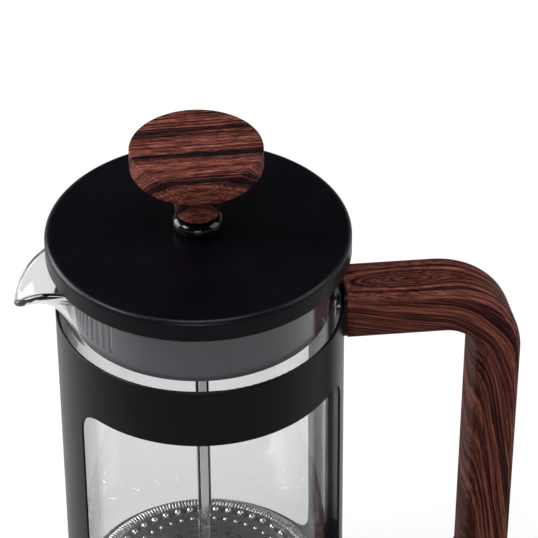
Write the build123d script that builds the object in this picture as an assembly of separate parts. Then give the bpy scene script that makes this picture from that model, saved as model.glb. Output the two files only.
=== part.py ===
from build123d import *
import os
from math import cos, radians, sin, tan

# A one-litre french press, in millimetres, +Z up, standing on z = 0.
# The handle points along +X and the spout along -X.  The plunger is pressed down.

# Heights of the main levels.
LID_TOP = 181.0
LID_SKIRT_LOW = 173.0
RIM_TOP = 174.0
FRAME_TOP = 149.1
WINDOW_TOP = 125.9
WINDOW_LOW = 16.5
FLOOR_TOP = 4.0
GLASS_LOW = 8.0
FILTER_TOP = 22.6

# Steel frame around the glass.
FRAME_R = 50.25
FRAME_WALL = 0.8
HEM_WIDTH = 1.3
HEM_HEIGHT = 2.0
WINDOW_HALF_ANGLE = 65.5
WINDOW_CORNER = 10.0
PAD_R = 48.9
PAD_HEIGHT = 3.0
LIP_HEIGHT = 12.5

# Glass beaker.
GLASS_R = 46.9
GLASS_WALL = 1.9
GLASS_FLOOR = 3.0
GLASS_HEEL = 8.0
SPOUT_TURN = 3.5
SPOUT_REACH = 65.0
SPOUT_TIP_HEIGHT = 161.0
SPOUT_LOW = 154.5
SPOUT_ROOT_HALF_WIDTH = 6.0
SPOUT_MOUTH_HALF_WIDTH = 19.0

# Lid.
LID_R = 52.7
LID_SHEET = 0.8
LINER_R = 44.5
LINER_WALL = 1.3
LINER_LOW = 150.0
LINER_TOP_WALL = 1.5
SLOT_COUNT = 19
SLOT_PITCH = 3.9
SLOT_WIDTH = 1.4
SLOT_RISE = 4.2
SLOT_HEIGHT = 16.0
LID_WASHER_R = 9.0
LID_WASHER_THICK = 1.0
BUSH_NUT_R = 7.4
BUSH_NUT_THICK = 4.0

# Levels under the lid's cover.
LINER_TOP = LID_TOP - LID_SHEET
LINER_UNDER = LINER_TOP - LINER_TOP_WALL
SHANK_LOW = LINER_UNDER - 7.0

# Plunger.
ROD_R = 2.6
RUNNING_FIT = 0.05
BODY_GAP = 0.3
BUSH_R = 8.8
BUSH_SHANK_R = 4.5
BUSH_TOP = 187.2
SLEEVE_WALL = 0.7
KNOB_R = 22.75
KNOB_TOP = 214.8
KNOB_UNDER = 205.6
KNOB_NECK_R = 7.7
KNOB_LOW = BUSH_TOP + 0.9
KNOB_BORE_R = 4.2
HUB_R = 7.0
HUB_NECK_R = 5.0
HUB_RIM = 2.0
HUB_HEIGHT = 6.0
FILTER_R = 44.5
PLATE_R = 39.2
PLATE_DOME_R = 26.0
PLATE_DOME_RISE = 1.2
SPACER_R = 5.0
CROSS_PLATE_R = 38.0
SPRING_COIL_R = 2.6
MESH_TOP = 17.1
MESH_THICK = 0.4
SHEET = 0.8
WASHER_R = 8.0
NUT_R = 6.6
NUT_THICK = 3.0
WASHER_TOP = MESH_TOP - MESH_THICK - SHEET
NUT_TOP = WASHER_TOP - 0.6

# Rows of holes, from the rim inwards: hole radius, circle radius and count.
PLATE_HOLES = ((1.1, 36.0, 46), (0.8, 31.0, 46), (1.4, 22.4, 30), (1.2, 15.5, 18))
CROSS_PLATE_HOLES = ((6.6, 28.0, 8), (2.6, 14.5, 8))

# Handle: two arms and a grip, with one rounded section.
HANDLE_WIDTH = 24.0
HANDLE_EDGE = 5.0
ARM_THICK = 19.0
GRIP_THICK = 16.4
ARM_MID = 141.8
ARM_DROP = 4.0
GRIP_LEVEL = 110.0
GRIP_INNER_X = 97.6
GRIP_LEAN = 0.8
LOWER_ARM_LOW = 0.8
LOWER_ARM_THICK = 13.0
OUTER_BEND = 31.0
INNER_BEND = 13.0
LOWER_OUTER_BEND = 12.0
LOWER_INNER_BEND = 3.0
SADDLE_THICK = 1.15

# Screws that hold the handle.
SCREW_HEIGHTS = (140.5, 8.2)
SCREW_R = 2.0
SCREW_HEAD_R = 3.5
SCREW_HEAD_THICK = 1.0
SCREW_LENGTH = 15.0
SCREW_CLEARANCE = 0.1
CROSS_SLOT_LENGTH = 3.2
CROSS_SLOT_WIDTH = 0.8
CROSS_SLOT_DEPTH = 0.5
INSERT_R = 3.4
INSERT_LENGTH = 12.0
WASHER_THICK = 0.4

UPRIGHT = (Align.CENTER, Align.CENTER, Align.MIN)
OVERRUN = 5.0


def disc(radius, low, high):
    """A solid disc or bar about the Z axis."""
    return Pos(0, 0, low) * Cylinder(radius, high - low, align=UPRIGHT)


def ring(outer, inner, low, high):
    """A tube or washer about the Z axis."""
    return disc(outer, low, high) - disc(inner, low - OVERRUN, high + OVERRUN)


def turned(outline, rounds=()):
    """Turn a closed (radius, height) outline about Z, with some corners rounded."""
    face = make_face(Plane.XZ * Polyline(*outline, close=True))
    for radius, height, round_r in rounds:
        corner = face.vertices().sort_by_distance((radius, 0, height))[0]
        face = fillet(corner, round_r)
    return revolve(face, Axis.Z)


def drilled(plate, hole_r, circle_r, count, low, high):
    """Drill a circle of equal upright holes through a plate."""
    holes = [place * disc(hole_r, low, high) for place in PolarLocations(circle_r, count)]
    return plate - holes


def radial_bar(radius, start, end, height):
    """A round bar that lies along +X at a given height."""
    length = end - start
    return Pos(start, 0, height) * Rot(0, 90, 0) * Cylinder(radius, length, align=UPRIGHT)


# ---------------------------------------------------------------- frame

def base_pad():
    edge = 1.0
    outline = [(0, 0), (PAD_R, 0), (PAD_R, PAD_HEIGHT), (0, PAD_HEIGHT)]
    return turned(outline, [(PAD_R, 0, edge)])


def base_plate():
    return disc(FRAME_R - FRAME_WALL, PAD_HEIGHT, FLOOR_TOP)


def base_cushion():
    """A soft disc under the glass, with a lip that centres it in the frame."""
    outer = FRAME_R - FRAME_WALL - 0.2
    inner = GLASS_R + BODY_GAP
    seat_top = GLASS_LOW - BODY_GAP
    lip = ring(outer, inner, FLOOR_TOP, LIP_HEIGHT)
    seat = disc(outer, FLOOR_TOP, seat_top)
    head_room = radial_bar(SCREW_HEAD_R + 1.0, inner - 2, outer + 2, SCREW_HEIGHTS[1])
    return lip + seat - head_room


def window(turn):
    """A rounded opening that goes through the frame wall, facing a given way."""
    inner = FRAME_R - 2 * OVERRUN
    reach = 2 * FRAME_R
    half = WINDOW_HALF_ANGLE
    rays = [(cos(radians(angle)), sin(radians(angle))) for angle in (-half, -half / 3, half / 3, half)]
    fan = make_face(Polyline((0, 0), *[(reach * x, reach * y) for x, y in rays], close=True))
    wedge = extrude(fan, WINDOW_TOP - WINDOW_LOW) - disc(inner, -OVERRUN, LID_TOP)
    wedge = Pos(0, 0, WINDOW_LOW) * wedge

    def along_ray(edge):
        middle = edge.center()
        level = abs(edge.start_point().Z - edge.end_point().Z) < 0.01
        return level and abs(abs(middle.Y) - middle.X * tan(radians(half))) < 0.01

    corners = wedge.edges().filter_by(GeomType.LINE).filter_by(along_ray)
    return Rot(0, 0, turn) * fillet(corners, WINDOW_CORNER)


def frame_shell():
    inner = FRAME_R - FRAME_WALL
    hem_inner = FRAME_R - HEM_WIDTH
    outline = [
        (inner, 0.5),
        (FRAME_R, 0.5),
        (FRAME_R, FRAME_TOP),
        (hem_inner, FRAME_TOP),
        (hem_inner, FRAME_TOP - HEM_HEIGHT),
        (inner, FRAME_TOP - HEM_HEIGHT - 0.6),
    ]
    rounds = [(FRAME_R, FRAME_TOP, 0.6), (hem_inner, FRAME_TOP, 0.6)]
    shell = turned(outline, rounds)
    for turn in (90, -90):
        shell -= window(turn)
    for height in SCREW_HEIGHTS:
        shell -= radial_bar(SCREW_R + SCREW_CLEARANCE, inner - 2, FRAME_R + 2, height)
    return shell


# ---------------------------------------------------------------- handle

def handle_outline():
    """The handle's side view as a closed C, with its bends rounded."""
    drop = tan(radians(ARM_DROP))
    lean = tan(radians(GRIP_LEAN))
    start = FRAME_R - 10.0
    top_start = ARM_MID + ARM_THICK / 2 + 1.0
    low_start = ARM_MID - ARM_THICK / 2 + 1.0
    lower_top = LOWER_ARM_LOW + LOWER_ARM_THICK

    def grip_x(height, outer):
        """Where a face of the leaning grip is at a height."""
        from_level = height - GRIP_LEVEL
        return GRIP_INNER_X + (GRIP_THICK if outer else 0) + from_level * lean

    def arm_z(x, upper):
        """Where the upper or lower face of the sloping arm is."""
        return (top_start if upper else low_start) - (x - start) * drop

    outer_x = grip_x(top_start - ARM_THICK / 2, True)
    inner_x = grip_x(low_start - ARM_THICK / 4, False)
    corners = [
        (start, top_start),
        (outer_x, arm_z(outer_x, True)),
        (grip_x(LOWER_ARM_LOW, True), LOWER_ARM_LOW),
        (start, LOWER_ARM_LOW),
        (start, lower_top),
        (grip_x(lower_top, False), lower_top),
        (inner_x, arm_z(inner_x, False)),
        (start, low_start),
    ]
    face = make_face(Plane.XZ * Polyline(*corners, close=True))
    bends = [(1, OUTER_BEND), (2, LOWER_OUTER_BEND), (5, LOWER_INNER_BEND), (6, INNER_BEND)]
    for index, bend in bends:
        x, z = corners[index]
        face = fillet(face.vertices().sort_by_distance((x, 0, z))[0], bend)
    return face


def handle():
    body = extrude(handle_outline(), HANDLE_WIDTH / 2, both=True)
    side_edges = [edge for edge in body.edges() if abs(edge.center().Y) > HANDLE_WIDTH / 2 - 0.01]
    body = fillet(side_edges, HANDLE_EDGE)
    body -= disc(FRAME_R + SADDLE_THICK, -OVERRUN, LID_TOP)
    for height in SCREW_HEIGHTS:
        body -= radial_bar(INSERT_R, FRAME_R, FRAME_R + SADDLE_THICK + INSERT_LENGTH + 3.0, height)
    return body


def saddle(middle, thick, screw_height):
    """A thin curved gasket between an arm's end and the frame."""
    inset = 0.5
    wide = HANDLE_WIDTH - 2 * inset
    tall = thick - 2 * inset
    outline = Plane.YZ * Pos(0, middle) * RectangleRounded(wide, tall, HANDLE_EDGE - inset)
    block = extrude(outline, FRAME_R + OVERRUN)
    gasket = block & ring(FRAME_R + SADDLE_THICK, FRAME_R, 0, LID_TOP)
    return gasket - radial_bar(INSERT_R, FRAME_R - 2, FRAME_R + OVERRUN, screw_height)


def upper_saddle():
    return saddle(ARM_MID + 0.2, ARM_THICK, SCREW_HEIGHTS[0])


def lower_saddle():
    middle = LOWER_ARM_LOW + LOWER_ARM_THICK / 2
    return saddle(middle, LOWER_ARM_THICK, SCREW_HEIGHTS[1])


def handle_screw(height):
    wall_x = FRAME_R - FRAME_WALL - WASHER_THICK - 0.3
    head = radial_bar(SCREW_HEAD_R, wall_x - SCREW_HEAD_THICK, wall_x, height)
    shank = radial_bar(SCREW_R, wall_x, wall_x + SCREW_LENGTH, height)
    face = Pos(wall_x - SCREW_HEAD_THICK, 0, height)
    upright_slot = face * Box(2 * CROSS_SLOT_DEPTH, CROSS_SLOT_WIDTH, CROSS_SLOT_LENGTH)
    level_slot = face * Box(2 * CROSS_SLOT_DEPTH, CROSS_SLOT_LENGTH, CROSS_SLOT_WIDTH)
    return head + shank - upright_slot - level_slot


def handle_screws():
    return Compound(children=[handle_screw(height) for height in SCREW_HEIGHTS])


def screw_washers():
    wall_x = FRAME_R - FRAME_WALL - 0.3
    washers = []
    for height in SCREW_HEIGHTS:
        blank = radial_bar(SCREW_HEAD_R + 0.4, wall_x - WASHER_THICK, wall_x, height)
        washers.append(blank - radial_bar(SCREW_R + SCREW_CLEARANCE, wall_x - 2, wall_x + 2, height))
    return Compound(children=washers)


def handle_inserts():
    start = FRAME_R + SADDLE_THICK
    inserts = []
    for height in SCREW_HEIGHTS:
        blank = radial_bar(INSERT_R, start, start + INSERT_LENGTH, height)
        inserts.append(blank - radial_bar(SCREW_R + 0.05, start - 1, start + INSERT_LENGTH + 1, height))
    return Compound(children=inserts)


# ---------------------------------------------------------------- glass

def ogive(tip_x, half_width, height):
    """A pointed arch lying flat, from inside the glass out to its tip."""
    base_x = -GLASS_R + 9.0
    tip = (-tip_x, 0)
    ends = [(base_x, half_width), (base_x, -half_width)]
    bulge = [((base_x - tip_x) * 0.5, side * half_width * 0.72) for side in (1, -1)]
    arch = [
        Line(ends[1], ends[0]),
        ThreePointArc(ends[0], bulge[0], tip),
        ThreePointArc(tip, bulge[1], ends[1]),
    ]
    return Pos(0, 0, height) * make_face(arch)


def spout_body(shrink):
    """A flared tongue, from inside the glass wall out beyond the tip."""
    rise = (RIM_TOP - SPOUT_LOW) / (SPOUT_TIP_HEIGHT - SPOUT_LOW)
    root_tip = GLASS_R - 0.3
    mouth_tip = root_tip + rise * (SPOUT_REACH - root_tip)
    root = ogive(root_tip - 2 * shrink, SPOUT_ROOT_HALF_WIDTH - shrink, SPOUT_LOW)
    mouth = ogive(mouth_tip - 2 * shrink, SPOUT_MOUTH_HALF_WIDTH - shrink, RIM_TOP)
    return loft([root, mouth])


def beaker():
    inner = GLASS_R - GLASS_WALL
    floor = GLASS_LOW + GLASS_FLOOR
    outside = turned(
        [(0, GLASS_LOW), (GLASS_R, GLASS_LOW), (GLASS_R, RIM_TOP), (0, RIM_TOP)],
        [(GLASS_R, GLASS_LOW, GLASS_HEEL)],
    )
    inside = turned(
        [(0, floor), (inner, floor), (inner, RIM_TOP + 1), (0, RIM_TOP + 1)],
        [(inner, floor, GLASS_HEEL - GLASS_WALL)],
    )
    glass = outside + spout_body(0.0) - inside - spout_body(GLASS_WALL)
    glass -= droop_cut()
    return Rot(0, 0, SPOUT_TURN) * glass


def droop_cut():
    """What is taken off above the spout, so that its lip slopes down to the tip."""
    start_x = -(GLASS_R - 8.0)
    end_x = -2 * SPOUT_REACH
    top = RIM_TOP + OVERRUN
    slope = (LID_SKIRT_LOW - 1.2 - SPOUT_TIP_HEIGHT) / (SPOUT_REACH - GLASS_R - 4.0)
    outline = [
        (start_x, RIM_TOP),
        (-GLASS_R - 4.0, LID_SKIRT_LOW - 1.2),
        (end_x, SPOUT_TIP_HEIGHT + slope * (SPOUT_REACH + end_x)),
        (end_x, top),
        (start_x, top),
    ]
    face = make_face(Plane.XZ * Polyline(*outline, close=True))
    return extrude(face, 2 * SPOUT_MOUTH_HALF_WIDTH, both=True)


# ---------------------------------------------------------------- lid

def lid_cover():
    inner = LID_R - LID_SHEET
    under = LID_TOP - LID_SHEET
    hole_r = BUSH_SHANK_R + RUNNING_FIT
    outline = [
        (hole_r, under),
        (inner, under),
        (inner, LID_SKIRT_LOW),
        (LID_R, LID_SKIRT_LOW),
        (LID_R, LID_TOP),
        (hole_r, LID_TOP),
    ]
    return turned(outline, [(LID_R, LID_TOP, 2.2), (inner, under, 1.4)])


def lid_liner():
    """The inner skirt, with upright strainer slots towards the spout."""
    top = LINER_TOP
    under = LINER_UNDER
    seat = RIM_TOP + 0.5
    inner = LINER_R - LINER_WALL
    flange_r = LID_R - LID_SHEET - 1.6
    hole_r = BUSH_SHANK_R + RUNNING_FIT
    outline = [
        (hole_r, under),
        (inner, under),
        (inner, LINER_LOW),
        (LINER_R, LINER_LOW),
        (LINER_R, seat),
        (flange_r, seat),
        (flange_r, top),
        (hole_r, top),
    ]
    liner = turned(outline, [(LINER_R, LINER_LOW, 0.5), (inner, LINER_LOW, 0.5)])
    slot_middle = LINER_LOW + SLOT_RISE + SLOT_HEIGHT / 2
    slot = Pos(-LINER_R, 0, slot_middle) * Box(2 * OVERRUN, SLOT_WIDTH, SLOT_HEIGHT)
    first = SPOUT_TURN - SLOT_PITCH * (SLOT_COUNT - 1) / 2
    for index in range(SLOT_COUNT):
        liner -= Rot(0, 0, first + index * SLOT_PITCH) * slot
    return liner


def lid_bush():
    """The rounded ring on the lid that the rod runs through, with its threaded shank."""
    low = LID_TOP + BODY_GAP
    bore = ROD_R + RUNNING_FIT + SLEEVE_WALL
    outline = [
        (bore, SHANK_LOW),
        (BUSH_SHANK_R, SHANK_LOW),
        (BUSH_SHANK_R, low),
        (BUSH_R, low),
        (BUSH_R, BUSH_TOP),
        (bore, BUSH_TOP),
    ]
    rounds = [(BUSH_R, BUSH_TOP, 3.0), (BUSH_R, low, 2.4), (bore, BUSH_TOP, 0.5)]
    return turned(outline, rounds)


def bush_sleeve():
    """A slippery lining inside the bush, which the rod slides in."""
    bore = ROD_R + RUNNING_FIT
    return ring(bore + SLEEVE_WALL, bore, SHANK_LOW, BUSH_TOP - 0.8)


def lid_washer():
    top = LINER_UNDER - BODY_GAP
    return ring(LID_WASHER_R, BUSH_SHANK_R, top - LID_WASHER_THICK, top)


def bush_nut():
    top = LINER_UNDER - BODY_GAP - LID_WASHER_THICK
    nut = Pos(0, 0, top - BUSH_NUT_THICK) * extrude(RegularPolygon(BUSH_NUT_R, 6), BUSH_NUT_THICK)
    return nut - disc(BUSH_SHANK_R, top - 2 * OVERRUN, top + OVERRUN)


# ---------------------------------------------------------------- plunger

def knob():
    """A flat turned disc on a short neck."""
    outline = [
        (0, KNOB_LOW),
        (KNOB_NECK_R, KNOB_LOW),
        (KNOB_NECK_R + 0.4, KNOB_UNDER),
        (KNOB_R, KNOB_UNDER),
        (KNOB_R, KNOB_TOP),
        (0, KNOB_TOP),
    ]
    rounds = [
        (KNOB_R, KNOB_TOP, 0.8),
        (KNOB_R, KNOB_UNDER, 2.5),
        (KNOB_NECK_R + 0.4, KNOB_UNDER, 1.5),
        (KNOB_NECK_R, KNOB_LOW, 0.6),
    ]
    bore_top = KNOB_UNDER + 1.0
    return turned(outline, rounds) - disc(KNOB_BORE_R, KNOB_LOW - OVERRUN, bore_top)


def knob_insert():
    """A brass threaded socket inside the knob's neck."""
    low = KNOB_LOW + 0.7
    high = KNOB_UNDER + 1.0
    insert = disc(KNOB_BORE_R, low, high)
    return insert - disc(ROD_R, low - OVERRUN, high - 1.0)


def plunger_rod():
    low = GLASS_LOW + GLASS_FLOOR + 0.8
    rod = disc(ROD_R, low, KNOB_UNDER)
    ends = rod.edges().filter_by(GeomType.CIRCLE)
    return chamfer(ends, 0.4)


def rod_hub():
    """The collar that clamps the filter from above."""
    low = FILTER_TOP + PLATE_DOME_RISE
    top = low + HUB_HEIGHT
    outline = [(ROD_R, low), (HUB_R, low), (HUB_R, low + HUB_RIM), (HUB_NECK_R, top), (ROD_R, top)]
    return turned(outline)


def filter_plate():
    """The perforated upper plate: a shallow dish with a raised middle and a turned-down rim."""
    top = FILTER_TOP
    low = top - SHEET
    rim_low = MESH_TOP + 0.1
    step = 1.5
    outline = [
        (ROD_R, low + PLATE_DOME_RISE),
        (PLATE_DOME_R - step, low + PLATE_DOME_RISE),
        (PLATE_DOME_R, low),
        (PLATE_R - SHEET, low),
        (PLATE_R - SHEET, rim_low),
        (PLATE_R, rim_low),
        (PLATE_R, top),
        (PLATE_DOME_R, top),
        (PLATE_DOME_R - step, top + PLATE_DOME_RISE),
        (ROD_R, top + PLATE_DOME_RISE),
    ]
    plate = turned(outline, [(PLATE_R, top, 0.7)])
    for hole_r, circle_r, count in PLATE_HOLES:
        plate = drilled(plate, hole_r, circle_r, count, rim_low, top + OVERRUN)
    return plate


def filter_spacer():
    """A sleeve on the rod that keeps the plate and the mesh apart."""
    return ring(SPACER_R, ROD_R, MESH_TOP, FILTER_TOP - SHEET + PLATE_DOME_RISE)


def filter_spring():
    """The outer shape of the coiled wire that presses the mesh on the glass."""
    return Pos(0, 0, MESH_TOP + SPRING_COIL_R) * Torus(FILTER_R - SPRING_COIL_R, SPRING_COIL_R)


def filter_mesh():
    """Fine woven screen, under the plate and the spring."""
    return ring(FILTER_R - 0.6, ROD_R, MESH_TOP - MESH_THICK, MESH_TOP)


def cross_plate():
    """The lower plate, a rim and spokes under the mesh."""
    top = MESH_TOP - MESH_THICK
    plate = ring(CROSS_PLATE_R, ROD_R, top - SHEET, top)
    for hole_r, circle_r, count in CROSS_PLATE_HOLES:
        plate = drilled(plate, hole_r, circle_r, count, top - OVERRUN, top + OVERRUN)
    return plate


def filter_washer():
    return ring(WASHER_R, ROD_R, NUT_TOP, WASHER_TOP)


def filter_nut():
    nut = Pos(0, 0, NUT_TOP - NUT_THICK) * extrude(RegularPolygon(NUT_R, 6), NUT_THICK)
    return nut - disc(ROD_R, NUT_TOP - OVERRUN, NUT_TOP + OVERRUN)


PIECES = (
    base_pad, base_plate, base_cushion, frame_shell,
    handle, upper_saddle, lower_saddle, handle_screws, screw_washers, handle_inserts,
    beaker,
    lid_cover, lid_liner, lid_bush, bush_sleeve, lid_washer, bush_nut,
    knob, knob_insert, plunger_rod, rod_hub,
    filter_plate, filter_spacer, filter_spring, filter_mesh, cross_plate, filter_washer, filter_nut,
)

os.makedirs("parts", exist_ok=True)
for make in PIECES:
    export_step(make(), f"parts/{make.__name__}.step")
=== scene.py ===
from math import cos, exp, log, pi, radians, sin, sqrt, tan

import bpy
from mathutils import Matrix, Vector


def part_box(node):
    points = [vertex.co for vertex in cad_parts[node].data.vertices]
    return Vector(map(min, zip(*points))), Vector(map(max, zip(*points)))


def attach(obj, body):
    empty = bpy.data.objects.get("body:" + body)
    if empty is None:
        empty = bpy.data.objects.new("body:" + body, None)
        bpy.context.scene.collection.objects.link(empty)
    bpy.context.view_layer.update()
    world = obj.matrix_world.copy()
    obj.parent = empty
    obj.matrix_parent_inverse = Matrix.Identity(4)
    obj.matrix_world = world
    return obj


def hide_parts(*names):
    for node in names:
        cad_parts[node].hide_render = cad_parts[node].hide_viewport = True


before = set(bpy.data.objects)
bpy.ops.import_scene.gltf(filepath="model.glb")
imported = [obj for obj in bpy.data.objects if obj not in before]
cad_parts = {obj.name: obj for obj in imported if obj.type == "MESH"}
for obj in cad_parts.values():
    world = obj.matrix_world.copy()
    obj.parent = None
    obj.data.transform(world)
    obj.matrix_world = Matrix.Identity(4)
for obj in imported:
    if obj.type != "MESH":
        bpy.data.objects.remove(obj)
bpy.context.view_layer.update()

MM = 0.001

# The camera, as a photographer would note it: where it stands from the lid's middle, and where it looks.
CAMERA_AZIMUTH = radians(-9.0)
CAMERA_ELEVATION = radians(36.26)
CAMERA_DISTANCE = 1.1132
CAMERA_HEADING = radians(-10.54)
CAMERA_PITCH = radians(36.96)
CAMERA_ROLL = radians(-0.46)
CAMERA_LENS = 217.8
LID_MIDDLE = Vector((0.0, 0.0, 0.18))

# Glass beaker.
GLASS_R = 46.9 * MM
GLASS_WALL = 1.9 * MM
GLASS_FLOOR = 3.0 * MM
GLASS_HEEL = 8.0 * MM
GLASS_RIM = 2.7 * MM
RIM_HEIGHT = 174.0 * MM
SPOUT_START = 149.0 * MM
SPOUT_TURN = radians(3.5)
SPOUT_HALF_ANGLE = radians(30.0)
SPOUT_TIP = (63.35 * MM, 160.2 * MM)
DIMPLE_RISE = 0.4 * MM
FLOOR_HOLE_R = 0.02 * MM

# The spout's middle line: how far (out, up) its two inner control points are from where it starts.
SPOUT_LEAD = ((2.6 * MM, 6.0 * MM), (4.1 * MM, 14.5 * MM))

# The share of the rim's dip that comes at once at the spout's sides.
SPOUT_EARLY_FALL = 0.20

# How many steps the beaker's mesh has: round the spout and the rest, then out and up its profile.
SPOUT_STEPS = 72
ROUND_STEPS = 168
FLOOR_STEPS = 8
HEEL_STEPS = 12
WALL_STEPS = 12
RISE_STEPS = 26
LIP_STEPS = 4
RIM_STEPS = 6

# Handle, outer and inner outlines.
SADDLE_R = 51.4 * MM
HANDLE_EDGE = 5.0 * MM
ARM_TOP = 152.3 * MM
ARM_THICK = 19.0 * MM
ARM_START = 40.25 * MM
ARM_DROP = tan(radians(4.0))
GRIP_INNER_X = 97.6 * MM
GRIP_LEVEL = 110.0 * MM
GRIP_THICK = 16.4 * MM
GRIP_LEAN = tan(radians(0.8))
LOWER_ARM_LOW = 0.8 * MM
LOWER_ARM_THICK = 13.0 * MM
OUTER_BENDS = (31.0 * MM, 12.0 * MM)
INNER_BENDS = (13.0 * MM, 3.0 * MM)
HANDLE_RUN_STEPS = (14, 40, 14)
HANDLE_BEND_STEPS = 24
HANDLE_EDGE_STEPS = 7

# Middle of the handle's growth rings: how far out it starts, how fast it sinks and climbs after that,
# and how far it is to the front.
RING_START = 16.3 * MM
RING_SINK = 0.20
RING_CLIMB = 0.56
RING_LEVEL_OFF = 0.19
RING_EASE = 5.0 * MM
RING_SIDE = 2.0 * MM
BEND_START = 62.0 * MM
BEND_END = 90.0 * MM

# The knob's growth rings are so wide that they cross it as bands: their middle, their slant and the
# (out, up) distance from that middle to the strong dark band across the knob's top.
KNOB_RING_Y = -0.150
KNOB_RING_Z = 0.105
KNOB_SLANT = 0.07
KNOB_DARK_BAND = (0.1604, 0.1098)
KNOB_DARK_BANDS_IN_METRE = 82.0

# How bright the floor is: in front and behind as a light, and near the object as the camera sees it, where
# it is dimmed as painted shade round the object.
FRONT_GLOW = 0.28
BACK_GLOW = 0.62
FLOOR_PAINTED_SHADE = 0.86
FLOOR_HALF = 4.0
FLOOR_DROP = 0.0001

# How bright the room is as a light, low down and overhead.
WALL_GLOW = 0.55
CEILING_GLOW = 0.03

# Soft lights: name, place, the height on the object's axis that it points at, size and watts.
LIGHTS = (
    ("left_light", (-1.0, -0.15, 1.1), 0.15, (0.45, 0.5), 14.0),
    ("back_light", (-1.1, 0.6, 0.5), 0.10, (0.9, 0.8), 24.0),
    ("right_light", (1.3, -0.3, 0.9), 0.12, (0.9, 1.2), 12.0),
    ("front_light", (-0.3, -1.5, 0.7), 0.12, (0.7, 0.5), 7.0),
    ("top_light", (0.0, -0.35, 1.7), 0.1, (0.9, 0.6), 14.0),
)

# Coil spring round the filter.
SPRING_TURNS = 210
SPRING_TURN_STEPS = 10
SPRING_WIRE_R = 0.34 * MM

# Domes pressed in the filter plate: the row's radius, how many, and a dome's radius.
PIP_ROWS = ((36.0 * MM, 46, 1.3 * MM), (31.0 * MM, 46, 0.8 * MM))
PIP_HEIGHT = 1.1            # for a radius of 1
PIP_LEVELS = 4
PIP_SIDES = 10
PLATE_DOME_RISE = 1.2 * MM

# Pitch of the filter's woven wires.
WEAVE_PITCH = 0.55 * MM


# ---------------------------------------------------------------- shader helper

class Shader:
    """A material's node tree, with short calls for the nodes that it needs."""

    def __init__(self, name):
        self.material = bpy.data.materials.new(name)
        self.material.use_nodes = True
        self.nodes = self.material.node_tree.nodes
        self.links = self.material.node_tree.links
        self.nodes.clear()
        self.output = self.nodes.new("ShaderNodeOutputMaterial")

    def put(self, socket, value):
        """Set a socket to a number or colour, or link another socket to it."""
        if isinstance(value, bpy.types.NodeSocket):
            self.links.new(value, socket)
        else:
            socket.default_value = value

    def place(self):
        """The point's place in the object's own frame, in metres."""
        return self.nodes.new("ShaderNodeTexCoord").outputs["Object"]

    def attribute(self, name):
        """A vector kept on the mesh."""
        made = self.nodes.new("ShaderNodeAttribute")
        made.attribute_name = name
        return made.outputs["Vector"]

    def math(self, operation, a, b=0.0):
        made = self.nodes.new("ShaderNodeMath")
        made.operation = operation
        self.put(made.inputs[0], a)
        self.put(made.inputs[1], b)
        return made.outputs[0]

    def squares(self, a, b):
        """a squared plus b squared."""
        return self.math("ADD", self.math("MULTIPLY", a, a), self.math("MULTIPLY", b, b))

    def vector(self, x, y, z):
        made = self.nodes.new("ShaderNodeCombineXYZ")
        for index, value in enumerate((x, y, z)):
            self.put(made.inputs[index], value)
        return made.outputs[0]

    def split(self, vector):
        made = self.nodes.new("ShaderNodeSeparateXYZ")
        self.put(made.inputs[0], vector)
        return made.outputs

    def stretched(self, vector, scale):
        made = self.nodes.new("ShaderNodeVectorMath")
        made.operation = "MULTIPLY"
        self.put(made.inputs[0], vector)
        made.inputs[1].default_value = scale
        return made.outputs[0]

    def noise(self, vector, scale=1.0, detail=2.0, roughness=0.5):
        made = self.nodes.new("ShaderNodeTexNoise")
        self.put(made.inputs["Vector"], vector)
        made.inputs["Scale"].default_value = scale
        made.inputs["Detail"].default_value = detail
        made.inputs["Roughness"].default_value = roughness
        return made.outputs[0]

    def ramp(self, value, *stops):
        """A colour ramp through (position, red, green, blue) stops."""
        made = self.nodes.new("ShaderNodeValToRGB")
        self.put(made.inputs[0], value)
        elements = made.color_ramp.elements
        while len(elements) < len(stops):
            elements.new(1.0)
        for element, (position, *colour) in zip(elements, stops):
            element.position = position
            element.color = (*colour, 1.0)
        return made.outputs[0]

    def multiply(self, strength, a, b):
        """Colour a multiplied by colour b, by strength."""
        made = self.nodes.new("ShaderNodeMix")
        made.data_type = "RGBA"
        made.blend_type = "MULTIPLY"
        made.inputs[0].default_value = strength
        self.put(made.inputs[6], a)
        self.put(made.inputs[7], b)
        return made.outputs[2]

    def between(self, value, low, high, start=0.0, stop=1.0):
        """Turn a value between start and stop into one from low to high."""
        made = self.nodes.new("ShaderNodeMapRange")
        self.put(made.inputs["Value"], value)
        self.put(made.inputs["From Min"], start)
        self.put(made.inputs["From Max"], stop)
        self.put(made.inputs["To Min"], low)
        self.put(made.inputs["To Max"], high)
        return made.outputs["Result"]

    def bump(self, height, distance, strength=1.0):
        made = self.nodes.new("ShaderNodeBump")
        self.put(made.inputs["Height"], height)
        made.inputs["Distance"].default_value = distance
        made.inputs["Strength"].default_value = strength
        return made.outputs["Normal"]

    def surface(self, **values):
        """The Principled shader, as the material's surface."""
        made = self.nodes.new("ShaderNodeBsdfPrincipled")
        for key, value in values.items():
            self.put(made.inputs[key.replace("_", " ")], value)
        self.links.new(made.outputs[0], self.output.inputs["Surface"])
        return made.outputs[0]


# ---------------------------------------------------------------- materials

def powder_coat():
    """Satin black paint on sheet steel, with a very fine grain."""
    s = Shader("powder_coat")
    fine = s.noise(s.place(), scale=2600.0)
    slow = s.noise(s.place(), scale=45.0, detail=3.0)
    s.surface(
        Base_Color=s.ramp(slow, (0.3, 0.0012, 0.0010, 0.0019), (0.7, 0.0020, 0.0017, 0.0030)),
        Roughness=s.between(slow, 0.28, 0.35),
        Specular_IOR_Level=0.15,
        Specular_Tint=(1.0, 0.90, 1.0, 1.0),
        Normal=s.bump(fine, 0.00004, 0.5),
    )
    return s.material


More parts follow.
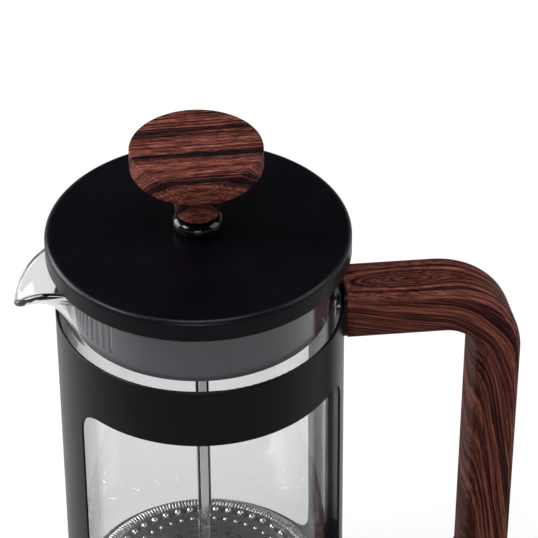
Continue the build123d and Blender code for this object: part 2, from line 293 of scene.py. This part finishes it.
def gloss_black():
    """Polished black enamel."""
    s = Shader("gloss_black")
    slow = s.noise(s.place(), scale=60.0)
    s.surface(
        Base_Color=s.ramp(slow, (0.2, 0.0012, 0.0012, 0.0020), (0.8, 0.0025, 0.0025, 0.0036)),
        Roughness=s.between(slow, 0.09, 0.13),
        Specular_IOR_Level=0.22,
    )
    return s.material


def rubber():
    """Matt black rubber with a fine moulded grain."""
    s = Shader("black_rubber")
    grain = s.noise(s.place(), scale=1500.0, detail=3.0)
    s.surface(
        Base_Color=s.ramp(grain, (0.2, 0.010, 0.010, 0.011), (0.8, 0.018, 0.018, 0.019)),
        Roughness=s.between(grain, 0.55, 0.7),
        Specular_IOR_Level=0.25,
        Normal=s.bump(grain, 0.00008, 0.4),
    )
    return s.material


def steel(name, stretch, low, high, shade=1.0):
    """Stainless steel, with faint polishing marks drawn out by stretch and roughness from low to high;
    shade, below 1, darkens its colour as painted shade.
    """
    s = Shader(name)
    # Both tones are multiplied by shade: below 1 this is painted shade, a darker copy of the same steel.
    dull = [level * shade for level in (0.56, 0.56, 0.57)]
    clean = [level * shade for level in (0.72, 0.72, 0.73)]
    marks = s.noise(s.stretched(s.place(), stretch), detail=4.0)
    s.surface(
        Base_Color=s.ramp(marks, (0.25, *dull), (0.75, *clean)),
        Metallic=1.0,
        Roughness=s.between(marks, low, high),
        Normal=s.bump(marks, 0.00002, 0.4),
    )
    return s.material


def woven_steel():
    """A fine screen of crossing wires, its colour darker where the weave is low as painted shade."""
    s = Shader("woven_steel")
    x, y, _ = s.split(s.place())
    warp = s.math("SINE", s.math("MULTIPLY", x, 2.0 * pi / WEAVE_PITCH))
    weft = s.math("SINE", s.math("MULTIPLY", y, 2.0 * pi / WEAVE_PITCH))
    weave = s.math("MULTIPLY", warp, weft)
    height = s.between(weave, 0.5, 1.0)
    s.surface(
        # Base colour darker where the weave is low: painted shade between the wires.
        Base_Color=s.ramp(height, (0.25, 0.10, 0.10, 0.11), (0.8, 0.60, 0.60, 0.60)),
        Metallic=1.0,
        Roughness=s.between(height, 0.30, 0.42),
        Normal=s.bump(height, 0.0002, 0.8),
    )
    return s.material


def brass():
    """Turned brass."""
    s = Shader("brass")
    marks = s.noise(s.stretched(s.place(), (300.0, 300.0, 4000.0)), detail=3.0)
    s.surface(
        Base_Color=s.ramp(marks, (0.2, 0.62, 0.44, 0.16), (0.8, 0.80, 0.60, 0.26)),
        Metallic=1.0,
        Roughness=s.between(marks, 0.22, 0.36),
    )
    return s.material


def plastic(name, dark, light):
    """Satin moulded plastic."""
    s = Shader(name)
    grain = s.noise(s.place(), scale=160.0, detail=3.0)
    s.surface(
        Base_Color=s.ramp(grain, (0.2, *dark), (0.8, *light)),
        Roughness=s.between(grain, 0.36, 0.42),
        Normal=s.bump(grain, 0.00001, 0.3),
    )
    return s.material


def glass():
    """Clear glass that lets light from the lamps through to what it holds."""
    s = Shader("clear_glass")
    slow = s.noise(s.place(), scale=35.0, detail=1.0)
    solid = s.surface(
        Base_Color=(0.955, 0.962, 0.962, 1.0),
        Roughness=0.0,
        IOR=1.47,
        Transmission_Weight=1.0,
        Normal=s.bump(slow, 0.0003, 0.2),
    )
    clear = s.nodes.new("ShaderNodeBsdfTransparent")
    clear.inputs["Color"].default_value = (0.94, 0.95, 0.95, 1.0)
    path = s.nodes.new("ShaderNodeLightPath")
    both = s.nodes.new("ShaderNodeMixShader")
    s.put(both.inputs[0], path.outputs["Is Shadow Ray"])
    s.put(both.inputs[1], solid)
    s.put(both.inputs[2], clear.outputs[0])
    s.put(s.output.inputs["Surface"], both.outputs[0])
    return s.material


def rosewood(name, read_grain, fine, broad, dark_bands, fibre_length, flecked):
    """Reddish brown wood with near-black growth bands.

    read_grain(shader) gives the point as (along the grain, and two distances from the middle of
    the growth rings), in metres.  fine and broad are how many bands there are in a metre, and
    dark_bands is (how many strong dark bands in a metre, where one of them is), or None.
    fibre_length is how long the streaks are, and flecked is how strong the short dark pores are,
    from 0 to 1.
    """
    s = Shader(name)
    grain = read_grain(s)
    along, across, sideways = s.split(grain)
    squares = s.squares(across, sideways)
    wander = s.noise(s.stretched(grain, (26.0, 110.0, 110.0)), detail=3.0, roughness=0.5)
    drift = s.math("MULTIPLY", s.math("SUBTRACT", wander, 0.5), 0.0026)
    ring = s.math("ADD", s.math("SQRT", squares), drift)
    line_place = s.vector(s.math("MULTIPLY", ring, fine), s.math("MULTIPLY", along, 5.0), 0.0)
    lines = s.noise(line_place, detail=3.0, roughness=0.62)
    band_place = s.vector(s.math("MULTIPLY", ring, broad), s.math("MULTIPLY", along, 3.0), 7.0)
    bands = s.noise(band_place)
    tone = s.math("ADD", s.math("MULTIPLY", lines, 0.68), s.math("MULTIPLY", bands, 0.32))
    if dark_bands:
        turn = s.math("MULTIPLY", s.math("SUBTRACT", ring, dark_bands[1]), 2.0 * pi * dark_bands[0])
        crest = s.math("POWER", s.between(s.math("COSINE", turn), 0.5, 1.0), 9.0)
        tone = s.math("SUBTRACT", tone, s.math("MULTIPLY", crest, 0.16))
    wood = s.ramp(
        tone,
        (0.37, 0.0075, 0.0030, 0.0042),
        (0.45, 0.0300, 0.0095, 0.0085),
        (0.50, 0.0900, 0.0265, 0.0190),
        (0.58, 0.1550, 0.0480, 0.0340),
        (0.70, 0.2300, 0.0840, 0.0620),
    )
    fibre = s.noise(s.stretched(grain, (1.0 / fibre_length, 1600.0, 1600.0)), detail=2.0, roughness=0.6)
    fibres = s.ramp(fibre, (0.36, 0.30, 0.27, 0.27), (0.50, 0.95, 0.95, 0.95), (0.66, 1.55, 1.48, 1.45))
    wood = s.multiply(0.85, wood, fibres)
    pores = s.noise(s.stretched(grain, (420.0, 3000.0, 3000.0)), detail=1.0, roughness=0.5)
    flecks = s.ramp(pores, (0.36, 0.28, 0.24, 0.26), (0.47, 0.95, 0.95, 0.95), (0.64, 1.45, 1.50, 1.45))
    wood = s.multiply(flecked, wood, flecks)
    s.surface(
        Base_Color=wood,
        Roughness=s.between(fibre, 0.52, 0.64),
        Specular_IOR_Level=0.035,
        Normal=s.bump(fibre, 0.00006, 0.5),
    )
    return s.material


def knob_grain(s):
    """Grain nearly along X, with the middle of the rings far off, low and to the front."""
    x, y, z = s.split(s.place())
    sideways = s.math("ADD", y, s.math("MULTIPLY", x, KNOB_SLANT))
    return s.vector(x, s.math("SUBTRACT", z, KNOB_RING_Z), s.math("SUBTRACT", sideways, KNOB_RING_Y))


def handle_grain(s):
    """Grain along the handle, as handle() keeps it on the mesh."""
    return s.attribute("grain")


def knob_wood():
    out, up = KNOB_DARK_BAND
    dark_bands = (KNOB_DARK_BANDS_IN_METRE, sqrt(up ** 2 + out ** 2))
    return rosewood("knob_wood", knob_grain, 1400.0, 300.0, dark_bands, 6.7 * MM, 0.75)


def handle_wood():
    return rosewood("handle_wood", handle_grain, 1500.0, 420.0, None, 20.0 * MM, 0.3)


# ---------------------------------------------------------------- mesh helpers

def mesh_piece(name, vertices, faces, material, body, replaced):
    """A smooth-shaded mesh that rides on a body and stands for a CAD node."""
    mesh = bpy.data.meshes.new(name)
    mesh.from_pydata([tuple(v) for v in vertices], [], faces)
    mesh.update()
    for polygon in mesh.polygons:
        polygon.use_smooth = True
    mesh.materials.append(material)
    piece = bpy.data.objects.new(name, mesh)
    bpy.context.scene.collection.objects.link(piece)
    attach(piece, body)
    if replaced:
        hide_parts(replaced)
    return piece


def rings_to_faces(count, size):
    """Quads between rings that follow each other, each of size vertices and closed on itself."""
    faces = []
    for ring in range(count - 1):
        for index in range(size):
            after = (index + 1) % size
            low = ring * size
            faces.append((low + index, low + after, low + size + after, low + size + index))
    return faces


# ---------------------------------------------------------------- glass beaker

def bezier(a, b, c, d, t):
    """A cubic curve's value at t, from a to d."""
    return a * (1 - t) ** 3 + 3 * b * t * (1 - t) ** 2 + 3 * c * t * t * (1 - t) + d * t ** 3


def spout_angles():
    """Angles round the beaker from the spout's middle, closer together in the spout."""
    spout = 2.0 * SPOUT_HALF_ANGLE
    rest = 2.0 * pi - spout
    angles = [-SPOUT_HALF_ANGLE + spout * i / SPOUT_STEPS for i in range(SPOUT_STEPS)]
    return angles + [SPOUT_HALF_ANGLE + rest * i / ROUND_STEPS for i in range(ROUND_STEPS)]


def spout_reach(angle):
    """How far the rim runs out into the spout at this angle, from 0 to 1."""
    share = min(1.0, abs(angle) / SPOUT_HALF_ANGLE)
    return (1.0 - share ** 1.7) ** 2.3


def upper_wall(angle, rise):
    """(radius, height) of the outer face from the spout's start, at rise 0, to the rim, at rise 1."""
    reach = spout_reach(angle)
    early = 1.0 - (1.0 - reach) ** 4
    fall = SPOUT_EARLY_FALL * early + (1.0 - SPOUT_EARLY_FALL) * reach ** 4
    first, second = SPOUT_LEAD
    out = bezier(GLASS_R, GLASS_R + first[0], GLASS_R + second[0], SPOUT_TIP[0], rise)
    up = bezier(SPOUT_START, SPOUT_START + first[1], SPOUT_START + second[1], SPOUT_TIP[1], rise)
    straight = SPOUT_START + (RIM_HEIGHT - 0.5 * GLASS_RIM - SPOUT_START) * rise
    return GLASS_R + (out - GLASS_R) * reach, straight + (up - straight) * fall


def outer_profile(angle, low):
    """(radius, height) points of the outer face from the middle of the floor up to the rim."""
    flat = GLASS_R - GLASS_HEEL
    points = []
    for i in range(FLOOR_STEPS):
        share = i / FLOOR_STEPS
        points.append((flat * share + FLOOR_HOLE_R, low + DIMPLE_RISE * (1.0 - share ** 2)))
    for i in range(HEEL_STEPS + 1):
        turn = 0.5 * pi * i / HEEL_STEPS
        points.append((flat + GLASS_HEEL * sin(turn), low + GLASS_HEEL * (1.0 - cos(turn))))
    wall_low = low + GLASS_HEEL
    wall_height = SPOUT_START - wall_low
    points += [(GLASS_R, wall_low + wall_height * i / WALL_STEPS) for i in range(1, WALL_STEPS)]
    return points + [upper_wall(angle, i / RISE_STEPS) for i in range(RISE_STEPS + 1)]


def wall_at(level, levels, point, normal, low):
    """The glass's thickness at a point: more in the floor and at the rim."""
    floor_share = max(0.0, -normal.z) ** 2 if point.z < low + 2.0 * GLASS_HEEL else 0.0
    lip_share = max(0.0, (level - levels + 1 + LIP_STEPS) / LIP_STEPS)
    return GLASS_WALL + (GLASS_FLOOR - GLASS_WALL) * floor_share + (GLASS_RIM - GLASS_WALL) * lip_share


def beaker():
    """The beaker as one closed wall: outer face, rounded rim and inner face, with a drawn-out spout."""
    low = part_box("beaker")[0][2]
    angles = spout_angles()
    size = len(angles)
    columns = []
    for angle in angles:
        heading = pi + SPOUT_TURN + angle
        profile = outer_profile(angle, low)
        columns.append([Vector((r * cos(heading), r * sin(heading), z)) for r, z in profile])
    levels = len(columns[0])

    outer, inner, rims = [], [], [[] for _ in range(RIM_STEPS - 1)]
    for level in range(levels):
        above = min(level + 1, levels - 1)
        below = max(level - 1, 0)
        for i in range(size):
            point = columns[i][level]
            up = columns[i][above] - columns[i][below]
            along = columns[(i + 1) % size][level] - columns[i - 1][level]
            normal = along.cross(up).normalized()
            wall = wall_at(level, levels, point, normal, low)
            outer.append(point)
            inner.append(point - normal * wall)
            if level == levels - 1:
                up.normalize()
                middle = point - normal * wall * 0.5
                for step, ring in enumerate(rims):
                    turn = pi * (step + 1) / RIM_STEPS
                    ring.append(middle + (normal * cos(turn) + up * sin(turn)) * wall * 0.5)

    vertices = outer[:]
    for ring in rims:
        vertices += ring
    for level in reversed(range(levels)):
        vertices += inner[level * size:(level + 1) * size]
    count = 2 * levels + len(rims)
    faces = rings_to_faces(count, size)
    faces.append(tuple(reversed(range(size))))
    faces.append(tuple(range((count - 1) * size, count * size)))
    mesh_piece("glass_beaker", vertices, faces, glass(), "beaker", "beaker")


# ---------------------------------------------------------------- wooden handle

def grip_x(height, outer):
    """Where the grip's inner or outer face is at a height."""
    return GRIP_INNER_X + (GRIP_THICK if outer else 0.0) + (height - GRIP_LEVEL) * GRIP_LEAN


def arm_z(x, outer):
    """The height of the upper arm's top or under face at a distance out."""
    return ARM_TOP - (0.0 if outer else ARM_THICK) - (x - ARM_START) * ARM_DROP


def outline(outer):
    """Corners of the handle's outer or inner face, from the upper arm to the lower."""
    far_x = grip_x(ARM_TOP - (0.5 if outer else 1.25) * ARM_THICK, outer)
    lower = LOWER_ARM_LOW + (0.0 if outer else LOWER_ARM_THICK)
    return [
        Vector((ARM_START, 0.0, arm_z(ARM_START, outer))),
        Vector((far_x, 0.0, arm_z(far_x, outer))),
        Vector((grip_x(lower, outer), 0.0, lower)),
        Vector((ARM_START, 0.0, lower)),
    ]


def rounded(corners, radii, straight_steps, bend_steps):
    """Points along a path with rounded corners: every run and every bend has its own number of steps."""
    arcs = []
    for before, corner, after, radius in zip(corners, corners[1:], corners[2:], radii):
        into = (before - corner).normalized()
        away = (after - corner).normalized()
        half = into.angle(away) / 2.0
        centre = corner + (into + away).normalized() * (radius / sin(half))
        first = corner + into * (radius / tan(half)) - centre
        last = corner + away * (radius / tan(half)) - centre
        turns = [first.slerp(last, i / bend_steps).normalized() for i in range(bend_steps + 1)]
        arcs.append([centre + turn * radius for turn in turns])
    points = []
    here = corners[0]
    for arc, steps in zip(arcs, straight_steps):
        points += [here.lerp(arc[0], i / steps) for i in range(steps)]
        points += arc[:-1]
        here = arc[-1]
    steps = straight_steps[-1]
    return points + [here.lerp(corners[-1], i / steps) for i in range(steps + 1)]


def section(thick, wide):
    """A rounded rectangle as (across, sideways) points."""
    points = []
    for quarter in range(4):
        side_a = 1.0 if quarter in (0, 3) else -1.0
        side_b = 1.0 if quarter in (0, 1) else -1.0
        for i in range(HANDLE_EDGE_STEPS + 1):
            turn = 0.5 * pi * (quarter + i / HANDLE_EDGE_STEPS)
            a = side_a * (0.5 * thick - HANDLE_EDGE) + HANDLE_EDGE * cos(turn)
            b = side_b * (0.5 * wide - HANDLE_EDGE) + HANDLE_EDGE * sin(turn)
            points.append((a, b))
    return points


def past(along, start):
    """How far along is past start, or nothing before it, with the change eased."""
    return RING_EASE * log(1.0 + exp((along - start) / RING_EASE))


def ring_middle(along):
    """How far out the middle of the growth rings is, at a distance along the handle.

    It starts above the arm's top, sinks into the arm towards the bend, and leaves by the grip's outer face.
    """
    climb = RING_CLIMB * past(along, BEND_START) - RING_LEVEL_OFF * past(along, BEND_END)
    return RING_START - RING_SINK * along + climb


def handle():
    """The handle swept between its outlines, with the grain's own directions kept on the mesh."""
    low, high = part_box("handle")
    wide = high[1] - low[1]
    outer = rounded(outline(True), OUTER_BENDS, HANDLE_RUN_STEPS, HANDLE_BEND_STEPS)
    inner = rounded(outline(False), INNER_BENDS, HANDLE_RUN_STEPS, HANDLE_BEND_STEPS)
    vertices, grain = [], []
    along = 0.0
    before = None
    last = len(outer) - 1
    for index, (far, near) in enumerate(zip(outer, inner)):
        middle = (far + near) / 2.0
        across = (far - near).normalized()
        along += (middle - before).length if before else 0.0
        before = middle
        for a, b in section((far - near).length, wide):
            point = middle + across * a + Vector((0.0, b, 0.0))
            if point.x < SADDLE_R or index in (0, last):
                point.x = sqrt(SADDLE_R ** 2 - b * b)
            vertices.append(point)
            grain.append((along, a - ring_middle(along), b + RING_SIDE))
    size = len(section(ARM_THICK, wide))
    faces = rings_to_faces(len(outer), size)
    faces.append(tuple(reversed(range(size))))
    faces.append(tuple(range(last * size, (last + 1) * size)))
    piece = mesh_piece("wood_handle", vertices, faces, handle_wood(), "frame", "handle")
    kept = piece.data.attributes.new("grain", "FLOAT_VECTOR", "POINT")
    for item, value in zip(kept.data, grain):
        item.vector = value


# ---------------------------------------------------------------- filter spring and domes

def filter_spring(material):
    """The close-wound spring that seals the filter against the glass."""
    low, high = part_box("filter_spring")
    coil_r = (high[2] - low[2]) / 2.0 - SPRING_WIRE_R
    middle = (high[2] + low[2]) / 2.0
    ring_r = high[0] - coil_r - SPRING_WIRE_R
    curve = bpy.data.curves.new("coil_spring", "CURVE")
    curve.dimensions = "3D"
    curve.bevel_depth = SPRING_WIRE_R
    curve.bevel_resolution = 1
    spline = curve.splines.new("POLY")
    count = SPRING_TURNS * SPRING_TURN_STEPS
    spline.points.add(count - 1)
    for i in range(count):
        round_ring = 2.0 * pi * i / count
        round_coil = 2.0 * pi * i / SPRING_TURN_STEPS
        r = ring_r + coil_r * cos(round_coil)
        z = middle + coil_r * sin(round_coil)
        spline.points[i].co = (r * cos(round_ring), r * sin(round_ring), z, 1.0)
    spline.use_cyclic_u = True
    spline.use_smooth = True
    curve.materials.append(material)
    piece = bpy.data.objects.new("coil_spring", curve)
    bpy.context.scene.collection.objects.link(piece)
    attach(piece, "plunger")
    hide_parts("filter_spring")


def dome(middle, size):
    """Points of a closed dome: rings from its foot up, then its top."""
    points = []
    for level in range(PIP_LEVELS):
        tilt = 0.5 * pi * level / PIP_LEVELS
        flat = size * cos(tilt)
        up = PIP_HEIGHT * size * sin(tilt)
        for i in range(PIP_SIDES):
            around = 2.0 * pi * i / PIP_SIDES
            points.append(middle + Vector((flat * cos(around), flat * sin(around), up)))
    points.append(middle + Vector((0.0, 0.0, PIP_HEIGHT * size)))
    return points


def dome_faces(first):
    """Faces of a dome whose points start at first."""
    sides = range(PIP_SIDES)
    high = first + (PIP_LEVELS - 1) * PIP_SIDES
    peak = high + PIP_SIDES
    faces = [tuple(first + v for v in face) for face in rings_to_faces(PIP_LEVELS, PIP_SIDES)]
    faces += [(high + i, high + (i + 1) % PIP_SIDES, peak) for i in sides]
    faces.append(tuple(first + i for i in reversed(sides)))
    return faces


def filter_pips(material):
    """Two rows of small pressed domes between the outer holes of the filter's top plate."""
    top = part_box("filter_plate")[1][2] - PLATE_DOME_RISE
    vertices, faces = [], []
    for row_r, count, size in PIP_ROWS:
        for pip in range(count):
            turn = 2.0 * pi * (pip + 0.5) / count
            faces += dome_faces(len(vertices))
            vertices += dome(Vector((row_r * cos(turn), row_r * sin(turn), top)), size)
    mesh_piece("filter_pips", vertices, faces, material, "plunger", None)


# ---------------------------------------------------------------- CAD nodes

def paint(names, material):
    """Give CAD nodes a material in every slot that they have."""
    for name in names:
        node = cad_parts[name]
        for slot in node.material_slots:
            slot.material = material


def paint_nodes():
    """Every CAD node that shows, or that the object holds inside, gets its own finish."""
    paint(("frame_shell", "base_plate", "upper_saddle", "lower_saddle", "lid_cover"), powder_coat())
    paint(("base_pad", "base_cushion"), rubber())
    paint(("lid_bush",), gloss_black())
    paint(("lid_liner",), plastic("liner_plastic", (0.016, 0.012, 0.020), (0.024, 0.019, 0.028)))
    paint(("bush_sleeve",), plastic("white_plastic", (0.80, 0.80, 0.78), (0.88, 0.88, 0.86)))
    paint(("plunger_rod",), steel("rod_steel", (2500.0, 2500.0, 60.0), 0.05, 0.12))
    turned = steel("turned_steel", (900.0, 900.0, 2500.0), 0.18, 0.30)
    paint(("rod_hub", "filter_spacer", "filter_nut", "filter_washer", "bush_nut", "lid_washer"), turned)
    paint(("handle_screws", "screw_washers"), turned)
    # The filter and cross plates: the same steel darkened to 0.36 as painted shade.
    pressed = steel("pressed_steel_painted_shade", (700.0, 700.0, 700.0), 0.20, 0.30, 0.36)
    paint(("filter_plate", "cross_plate"), pressed)
    paint(("filter_mesh",), woven_steel())
    paint(("knob_insert", "handle_inserts"), brass())
    paint(("knob",), knob_wood())


# ---------------------------------------------------------------- studio

def floor():
    """A pale floor that the camera sees dimmed near the object as painted shade and white away from it, and
    that gives more light back from behind it.
    """
    corners = [(FLOOR_HALF * x, FLOOR_HALF * y, 0.0) for x, y in ((-1, -1), (1, -1), (1, 1), (-1, 1))]
    mesh = bpy.data.meshes.new("floor")
    mesh.from_pydata(corners, [], [(0, 1, 2, 3)])
    s = Shader("pale_floor")
    seen = s.nodes.new("ShaderNodeLightPath").outputs["Is Camera Ray"]
    x, y, _ = s.split(s.place())
    glow = s.between(y, FRONT_GLOW, BACK_GLOW, -0.15, 0.10)
    # As the camera sees it, the floor is dimmed near the object, painted shade round the object, and fades
    # out to white.
    white = s.between(s.math("SQRT", s.squares(x, y)), FLOOR_PAINTED_SHADE, 1.0, 0.3, 1.2)
    s.surface(
        Base_Color=(0.12, 0.12, 0.12, 1.0),
        Roughness=0.9,
        Specular_IOR_Level=0.0,
        Emission_Color=(1.0, 1.0, 1.0, 1.0),
        Emission_Strength=s.between(seen, glow, white),
    )
    mesh.materials.append(s.material)
    plane = bpy.data.objects.new("floor", mesh)
    plane.location.z = -FLOOR_DROP
    bpy.context.scene.collection.objects.link(plane)


def softbox(name, place, aim_height, size, power):
    """A rectangular soft light that points at the object's axis."""
    data = bpy.data.lights.new(name, "AREA")
    data.shape = "RECTANGLE"
    data.size = size[0]
    data.size_y = size[1]
    data.energy = power
    lamp = bpy.data.objects.new(name, data)
    lamp.location = place
    aim = Vector((0.0, 0.0, aim_height)) - Vector(place)
    lamp.rotation_euler = aim.to_track_quat("-Z", "Y").to_euler()
    bpy.context.scene.collection.objects.link(lamp)


def surround(world):
    """White to the camera.  As a light, pale low down and dark overhead, so that the lid mirrors little."""
    world.use_nodes = True
    nodes = world.node_tree.nodes
    link = world.node_tree.links.new
    direction = nodes.new("ShaderNodeTexCoord").outputs["Generated"]
    split = nodes.new("ShaderNodeSeparateXYZ")
    link(direction, split.inputs[0])
    fade = nodes.new("ShaderNodeMapRange")
    fade.inputs["From Min"].default_value = 0.05
    fade.inputs["From Max"].default_value = 0.40
    fade.inputs["To Min"].default_value = WALL_GLOW
    fade.inputs["To Max"].default_value = CEILING_GLOW
    link(split.outputs["Z"], fade.inputs["Value"])
    seen = nodes.new("ShaderNodeMapRange")
    seen.inputs["To Max"].default_value = 1.0
    link(nodes.new("ShaderNodeLightPath").outputs["Is Camera Ray"], seen.inputs["Value"])
    link(fade.outputs["Result"], seen.inputs["To Min"])
    background = nodes["Background"]
    background.inputs["Color"].default_value = (1.0, 1.0, 1.0, 1.0)
    link(seen.outputs["Result"], background.inputs["Strength"])


def studio():
    floor()
    for light in LIGHTS:
        softbox(*light)
    world = bpy.data.worlds.new("studio")
    surround(world)
    scene = bpy.context.scene
    scene.world = world
    scene.view_settings.view_transform = "Standard"


def camera():
    data = bpy.data.cameras.new("camera")
    data.lens = CAMERA_LENS
    data.sensor_width = 36.0
    data.clip_start = 0.05
    data.clip_end = 20.0
    level = CAMERA_DISTANCE * cos(CAMERA_ELEVATION)
    up = CAMERA_DISTANCE * sin(CAMERA_ELEVATION)
    place = LID_MIDDLE + Vector((level * sin(CAMERA_AZIMUTH), -level * cos(CAMERA_AZIMUTH), up))
    turn = Matrix.Rotation(CAMERA_HEADING, 4, "Z")
    tip = Matrix.Rotation(pi / 2.0 - CAMERA_PITCH, 4, "X")
    roll = Matrix.Rotation(CAMERA_ROLL, 4, "Z")
    made = bpy.data.objects.new("camera", data)
    made.matrix_world = Matrix.Translation(place) @ turn @ tip @ roll
    bpy.context.scene.collection.objects.link(made)
    bpy.context.scene.camera = made


# ---------------------------------------------------------------- make it all

camera()
studio()
paint_nodes()
beaker()
handle()
# The spring's steel is darkened to 0.8 as painted shade.
filter_spring(steel("spring_steel_painted_shade", (900.0, 900.0, 900.0), 0.20, 0.32, 0.8))
filter_pips(steel("bright_steel", (900.0, 900.0, 900.0), 0.08, 0.16))
